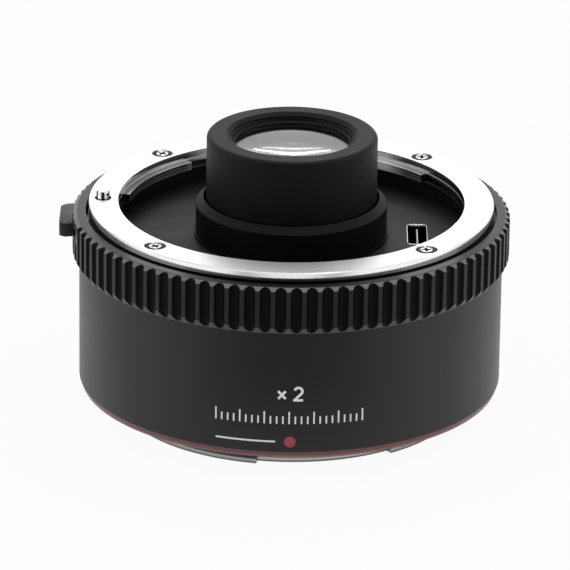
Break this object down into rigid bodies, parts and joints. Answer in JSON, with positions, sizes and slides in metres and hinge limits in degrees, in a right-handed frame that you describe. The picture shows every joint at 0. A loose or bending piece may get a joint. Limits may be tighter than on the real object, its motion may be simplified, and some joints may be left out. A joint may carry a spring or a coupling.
{
  "type": "camera teleconverter",
  "caption": "Camera teleconverter: short black barrel with a fluted grip ring, bayonet flanges front and rear, a raised lens barrel, spring contacts and a lens release lever.",
  "frame": {"origin": "centre of the rear flange's face, which seats on the camera, on the optical axis", "axes": "+Z along the optical axis to the front, where the lens goes; -Y the side with the red index dot and the contacts; -X the lens release"},
  "size_m": [0.0741, 0.072, 0.0469],
  "materials": {
    "body_paint": "satin black paint",
    "grip_paint": "satin black paint on fine flutes",
    "red_anodising": "satin red",
    "index_red": "red enamel",
    "mount_chrome": "polished and plated",
    "spring_steel": "plain spring steel",
    "screw_steel": "plain steel",
    "frame_alloy": "plain cast alloy",
    "chassis_black": "matt black",
    "barrel_black": "satin black",
    "baffle_black": "matt black",
    "contact_plastic": "fine matt black",
    "contact_gold": "gold plated",
    "blade_metal": "plain steel",
    "lens_glass": "coated optical glass",
    "board_green": "solder resist on fibreglass",
    "chip_black": "moulded black",
    "connector_white": "moulded ivory",
    "flex_amber": "polyimide film"
  },
  "bodies": {
    "converter": {"body_shell": "body_paint", "grip_ring": "grip_paint", "red_trim_ring": "red_anodising", "rear_index_dot": "index_red", "front_mount_ring": "mount_chrome", "front_mount_screws": "mount_chrome", "front_mount_spring": "spring_steel", "front_chassis": "chassis_black", "chassis_screws": "screw_steel", "front_baffle": "baffle_black", "slot_blade": "blade_metal", "main_frame": "frame_alloy", "rear_mount_ring": "mount_chrome", "rear_mount_screws": "mount_chrome", "rear_baffle": "baffle_black", "rear_contact_block": "contact_plastic", "rear_contact_pads": "contact_gold", "rear_inner_screws": "screw_steel", "front_contact_block": "contact_plastic", "front_contact_screws": "screw_steel", "contact_springs": "spring_steel", "release_spring": "spring_steel", "lock_pin_spring": "spring_steel", "lens_tube": "barrel_black", "lens_tube_screws": "screw_steel", "front_barrel": "barrel_black", "barrel_base_ring": "barrel_black", "front_retaining_ring": "barrel_black", "rear_retaining_ring": "barrel_black", "spacer_front": "barrel_black", "spacer_middle": "barrel_black", "spacer_rear": "barrel_black", "circuit_board": "board_green", "controller_chip": "chip_black", "board_connectors": "connector_white", "board_screws": "screw_steel", "front_flex": "flex_amber", "rear_flex": "flex_amber", "lens_1": "lens_glass", "lens_2": "lens_glass", "lens_3": "lens_glass", "lens_4": "lens_glass", "lens_5": "lens_glass", "lens_6": "lens_glass", "lens_7": "lens_glass"},
    "release": {"release_slider": "spring_steel", "release_thumb_piece": "body_paint"},
    "lock": {"lock_pin": "mount_chrome", "lock_pin_peg": "screw_steel"},
    "pin_01": {"contact_pin_01": "contact_gold"},
    "pin_02": {"contact_pin_02": "contact_gold"},
    "pin_03": {"contact_pin_03": "contact_gold"},
    "pin_04": {"contact_pin_04": "contact_gold"},
    "pin_05": {"contact_pin_05": "contact_gold"},
    "pin_06": {"contact_pin_06": "contact_gold"},
    "pin_07": {"contact_pin_07": "contact_gold"},
    "pin_08": {"contact_pin_08": "contact_gold"},
    "pin_09": {"contact_pin_09": "contact_gold"},
    "pin_10": {"contact_pin_10": "contact_gold"},
    "pin_11": {"contact_pin_11": "contact_gold"}
  },
  "joints": [
    {"name": "lens_release", "type": "hinge", "parent": "converter", "child": "release", "pos_m": [0, 0, 0.0264], "axis": [0, 0, 1], "range_deg": [0, 5.5], "stiffness_Nm_per_rad": 0.2, "springref_deg": -6.88, "deforming": ["release_spring"]},
    {"name": "lock_pin_slide", "type": "slide", "parent": "converter", "child": "lock", "axis": [0, 0, -1], "range_m": [0, 0.0015], "deforming": ["lock_pin_spring"]},
    {"name": "contact_pin_01_slide", "type": "slide", "parent": "converter", "child": "pin_01", "axis": [0, 0, -1], "range_m": [0, 0.0006], "stiffness_N_per_m": 300, "springref_m": -0.001, "deforming": ["contact_springs"]},
    {"name": "contact_pin_02_slide", "type": "slide", "parent": "converter", "child": "pin_02", "axis": [0, 0, -1], "range_m": [0, 0.0006], "stiffness_N_per_m": 300, "springref_m": -0.001},
    {"name": "contact_pin_03_slide", "type": "slide", "parent": "converter", "child": "pin_03", "axis": [0, 0, -1], "range_m": [0, 0.0006], "stiffness_N_per_m": 300, "springref_m": -0.001},
    {"name": "contact_pin_04_slide", "type": "slide", "parent": "converter", "child": "pin_04", "axis": [0, 0, -1], "range_m": [0, 0.0006], "stiffness_N_per_m": 300, "springref_m": -0.001},
    {"name": "contact_pin_05_slide", "type": "slide", "parent": "converter", "child": "pin_05", "axis": [0, 0, -1], "range_m": [0, 0.0006], "stiffness_N_per_m": 300, "springref_m": -0.001},
    {"name": "contact_pin_06_slide", "type": "slide", "parent": "converter", "child": "pin_06", "axis": [0, 0, -1], "range_m": [0, 0.0006], "stiffness_N_per_m": 300, "springref_m": -0.001},
    {"name": "contact_pin_07_slide", "type": "slide", "parent": "converter", "child": "pin_07", "axis": [0, 0, -1], "range_m": [0, 0.0006], "stiffness_N_per_m": 300, "springref_m": -0.001},
    {"name": "contact_pin_08_slide", "type": "slide", "parent": "converter", "child": "pin_08", "axis": [0, 0, -1], "range_m": [0, 0.0006], "stiffness_N_per_m": 300, "springref_m": -0.001},
    {"name": "contact_pin_09_slide", "type": "slide", "parent": "converter", "child": "pin_09", "axis": [0, 0, -1], "range_m": [0, 0.0006], "stiffness_N_per_m": 300, "springref_m": -0.001},
    {"name": "contact_pin_10_slide", "type": "slide", "parent": "converter", "child": "pin_10", "axis": [0, 0, -1], "range_m": [0, 0.0006], "stiffness_N_per_m": 300, "springref_m": -0.001},
    {"name": "contact_pin_11_slide", "type": "slide", "parent": "converter", "child": "pin_11", "axis": [0, 0, -1], "range_m": [0, 0.0006], "stiffness_N_per_m": 300, "springref_m": -0.001}
  ],
  "couplings": [
    {"joint": "lock_pin_slide", "follows": "lens_release", "m_per_rad": 0.015625}
  ]
}
